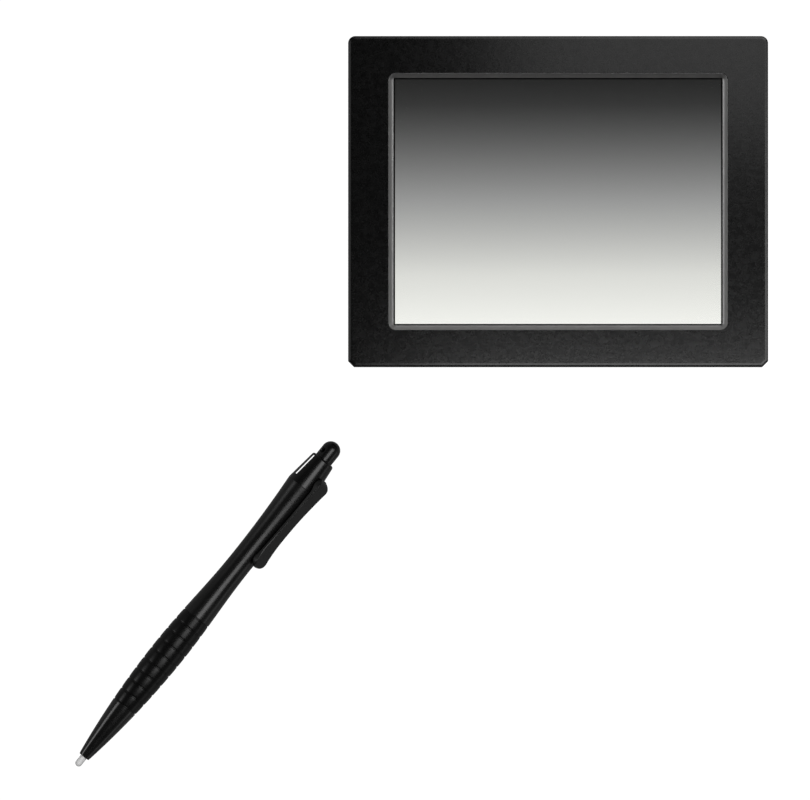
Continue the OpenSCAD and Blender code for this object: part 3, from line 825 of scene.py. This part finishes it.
def all_paints():
    """One material for each of the record's slots, by name, after the frame's own are gone."""
    for old in list(bpy.data.materials):
        bpy.data.materials.remove(old)
    return {paint.name: paint.material for paint in (
        bezel_black(), cover_black(), trim_grey(), nib_grey(), panel_clear(), picture(),
        board_green(), flex_amber(), pack_grey(),
        moulded("gasket_black", grey(0.006), 0.85, grain=0.5, depth=0.05),
        moulded("guide_white", grey(0.8, 0.01), 0.2, grain=0.8, depth=0.003),
        moulded("chip_black", grey(0.02), 0.55, grain=0.15, depth=0.008),
        moulded("part_black", grey(0.015), 0.45),
        moulded("button_black", grey(0.014), 0.4),
        moulded("reset_white", grey(0.65, 0.02), 0.4),
        sheet_metal("sheet_steel", grey(0.55), 0.35, (0.1, 1, 1)),
        sheet_metal("cast_grey", grey(0.4), 0.55, (1, 1, 1)),
        sheet_metal("contact_brass", (0.72, 0.5, 0.2), 0.3, (1, 1, 0.2)),
        sheet_metal("screw_steel", grey(0.3), 0.35, (1, 1, 0.3)),
        sheet_metal("socket_steel", grey(0.5), 0.3, (0.2, 1, 1)),
        sheet_metal("spring_steel", grey(0.6), 0.22, (1, 1, 1)),
        pen_black("nose_black", 0.009, 0.22, 4, 0.001),
        pen_black("grip_black", 0.005, 0.3, 2, 0.002, Specular_IOR_Level=0.27),
        pen_black("barrel_black", 0.007, 0.28, 4, 0.002),
        pen_black("gloss_black", 0.004, 0.27, 4, 0.002),
        pen_black("clip_black", 0.008, 0.38, 0.6, 0.006))}


# Width in millimetres of the soft edges of CAD nodes that need another than SOFT_WIDTH
SOFT_WIDTH = 0.1
SOFT_EDGE = {"rear_cover": 0.14, "battery_door": 0.14, "power_button": 0.25, "card_blank": 0.2,
             "processor": 0.05, "memory_chips": 0.05, "battery_pack": 0.5}


def dress(paints, pieces):
    """Gives each piece and CAD node the paint of its slot, and the CAD nodes soft edges."""
    for piece in pieces:
        piece.data.materials.clear()
        piece.data.materials.append(paints[piece["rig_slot"]])
    for name, node in frame["nodes"].items():
        node.data.materials.clear()
        node.data.materials.append(paints[SLOT_OF[name]])
        if node.hide_render or name == "nib_spring":
            continue
        node.modifiers.new("weld", "WELD").merge_threshold = 0.002 * MM
        flat = node.modifiers.new("flat_faces", "DECIMATE")
        flat.decimate_type = "DISSOLVE"
        flat.angle_limit = math.radians(1)
        soften(node, SOFT_EDGE.get(name, SOFT_WIDTH), angle=40)


# ---- Studio ----

def seen_or_lighting(nodes, links, seen, lighting):
    """The first shader where the camera looks at the backdrop, the second for the light it gives."""
    mix = nodes.new("ShaderNodeMixShader")
    links.new(nodes.new("ShaderNodeLightPath").outputs["Is Camera Ray"], mix.inputs["Fac"])
    links.new(lighting, mix.inputs[1])
    links.new(seen, mix.inputs[2])
    return mix.outputs["Shader"]


def white_floor():
    """Plain white floor. It is open from below, so that the underside can be looked at."""
    bm = bmesh.new()
    half, drop = 20000, 0.3
    corners = ((-half, -half), (half, -half), (half, half), (-half, half))
    bm.faces.new([bm.verts.new((x, y, 0)) for x, y in corners])
    floor = finished("floor", bm, CASE @ Matrix.Translation((0, 0, -drop)))
    material = bpy.data.materials.new("floor_white")
    material.use_nodes = True
    nodes, links = material.node_tree.nodes, material.node_tree.links
    nodes.remove(nodes["Principled BSDF"])
    white, glow = nodes.new("ShaderNodeEmission"), nodes.new("ShaderNodeEmission")
    white.inputs["Strength"].default_value = WHITE
    glow.inputs["Strength"].default_value = FLOOR_GLOW
    clear, open_below = nodes.new("ShaderNodeBsdfTransparent"), nodes.new("ShaderNodeMixShader")
    links.new(nodes.new("ShaderNodeNewGeometry").outputs["Backfacing"], open_below.inputs["Fac"])
    both = seen_or_lighting(nodes, links, white.outputs["Emission"], glow.outputs["Emission"])
    links.new(both, open_below.inputs[1])
    links.new(clear.outputs["BSDF"], open_below.inputs[2])
    links.new(open_below.outputs["Shader"], nodes["Material Output"].inputs["Surface"])
    floor.data.materials.append(material)
    floor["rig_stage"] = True


def dim_world():
    """White backdrop. Its light is dim, and dimmer overhead than at the horizon."""
    world = bpy.data.worlds.new("studio")
    world.use_nodes = True
    bpy.context.scene.world = world
    nodes, links = world.node_tree.nodes, world.node_tree.links
    parts = nodes.new("ShaderNodeSeparateXYZ")
    links.new(nodes.new("ShaderNodeTexCoord").outputs["Generated"], parts.inputs["Vector"])
    ramp = nodes.new("ShaderNodeValToRGB")
    for element, place, value in zip(ramp.color_ramp.elements, (0.2, 0.7), (HORIZON, ZENITH)):
        element.position = place
        element.color = (value, value, value, 1)
    links.new(parts.outputs["Z"], ramp.inputs["Fac"])
    links.new(ramp.outputs["Color"], nodes["Background"].inputs["Color"])
    white = nodes.new("ShaderNodeBackground")
    white.inputs["Strength"].default_value = WHITE
    dim = nodes["Background"].outputs["Background"]
    both = seen_or_lighting(nodes, links, white.outputs["Background"], dim)
    links.new(both, nodes["World Output"].inputs["Surface"])


def softbox(name, lit, place, target, size, radiance, along=(0, 1, 0)):
    """Area light of even radiance that lights one group of pieces and faces the target. Its
    second size lies along the given direction."""
    data = bpy.data.lights.new(name, "AREA")
    data.shape = "RECTANGLE"
    data.size, data.size_y = size
    data.energy = radiance * size[0] * size[1] * math.pi
    back = (Vector(place) - Vector(target)).normalized()
    aside = Vector(along).cross(back).normalized()
    light = bpy.data.objects.new(name, data)
    turn = Matrix((aside, back.cross(aside), back)).transposed().to_4x4()
    light.matrix_world = Matrix.Translation(place) @ turn
    light.visible_camera = False
    light.light_linking.receiver_collection = lit
    bpy.context.scene.collection.objects.link(light)


def groups():
    """Light groups, since every part of the set was lit on its own."""
    made = {}
    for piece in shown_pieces():
        group = "device"
        if piece["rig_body"] in ("stylus", "click_button", "nib", "clip"):
            group = "stylus"
        if piece.name in ("bezel_frame", "window_ring", "nib_tip"):
            group = piece.name
        if group not in made:
            made[group] = bpy.data.collections.new(group + "_lit")
        made[group].objects.link(piece)
    return made


def lights():
    lit = groups()
    right = AXIS.cross(UP)

    def beside_pen(name, group, u, aside, height, size, radiance):
        """Softbox beside or above station u of the stylus, turned to face it."""
        target = NIB_END * MM + AXIS * u
        softbox(name, lit[group], target + right * aside + UP * height, target, size, radiance, AXIS)

    # long highlight on the barrel, which dies away towards the nib
    key = NIB_END * MM + AXIS * 0.42 + right * 0.25 + UP
    softbox("barrel_key", lit["stylus"], key, key - UP, (0.55, 0.9), 3.3, AXIS)
    # narrow highlight on the left of the nose, and a weak fill from the right
    beside_pen("nose_strip", "stylus", -0.36, -1.2, 0.6, (0.42, 0.48), 3.6)
    beside_pen("right_fill", "stylus", 0.085, 1.2, 0.25, (0.3, 1.2), 0.6)
    beside_pen("nib_glow", "nib_tip", 0.0, 0.0, 1.0, (0.8, 0.8), 3.8)
    # slopes of the window trim
    softbox("left_panel", lit["window_ring"], (-1.2, 0.1, 0.7), (0, 0, 0), (0.5, 1.0), 11.5)
    softbox("right_panel", lit["window_ring"], (1.2, 0.1, 0.7), (0, 0, 0), (0.5, 1.0), 10.5)
    softbox("top_panel", lit["window_ring"], (0, 1.2, 0.7), (0, 0, 0), (1.0, 0.5), 8, (0, 0, 1))
    # soft sheen on the bezel, dark on the left
    bezel = lit["bezel_frame"]
    softbox("lower_sheen", bezel, (0.171, -0.13, 0.2), (0.171, -0.13, 0), (0.444, 0.13), 2.9)
    softbox("upper_sheen", bezel, (0.179, 0.132, 0.2), (0.179, 0.132, 0), (0.397, 0.216), 1.0)
    softbox("right_sheen", bezel, (0.266, 0.1, 0.2), (0.266, 0.1, 0), (0.204, 0.356), 3)
    # light rims on its top and left edges
    softbox("top_rim", bezel, (0.25, 0.6, 0.45), (0, 0, 0), (0.6, 0.5), 1.8, (0, 0, 1))
    softbox("left_rim", bezel, (-0.6, 0.0, 0.45), (0, 0, 0), (0.5, 0.6), 0.8)
    # the rest of the device
    softbox("device_fill", lit["device"], (0.1, -0.3, 0.6), (0, 0, 0), (0.4, 0.3), 1.5)


def camera():
    """Straight above the middle of the layout, from far away through a long lens."""
    distance, frame_width = 11.0, 0.2862
    middle_x, middle_y = -0.0541, -0.0701
    data = bpy.data.cameras.new("camera")
    data.sensor_width = 36
    data.lens = data.sensor_width * distance / frame_width
    data.clip_end = 100
    made = bpy.data.objects.new("camera", data)
    made.location = (middle_x, middle_y, distance + FRONT_Z * MM)
    bpy.context.scene.collection.objects.link(made)
    bpy.context.scene.camera = made


camera()
pieces = [front_bezel(), window_trim(), stylus_nib(), stylus_nose(), stylus_grip(), stylus_barrel(),
          click_button(), stylus_collar(), stylus_clip()]
dress(all_paints(), pieces)
white_floor()
dim_world()
lights()
bpy.context.scene.view_settings.view_transform = "Standard"
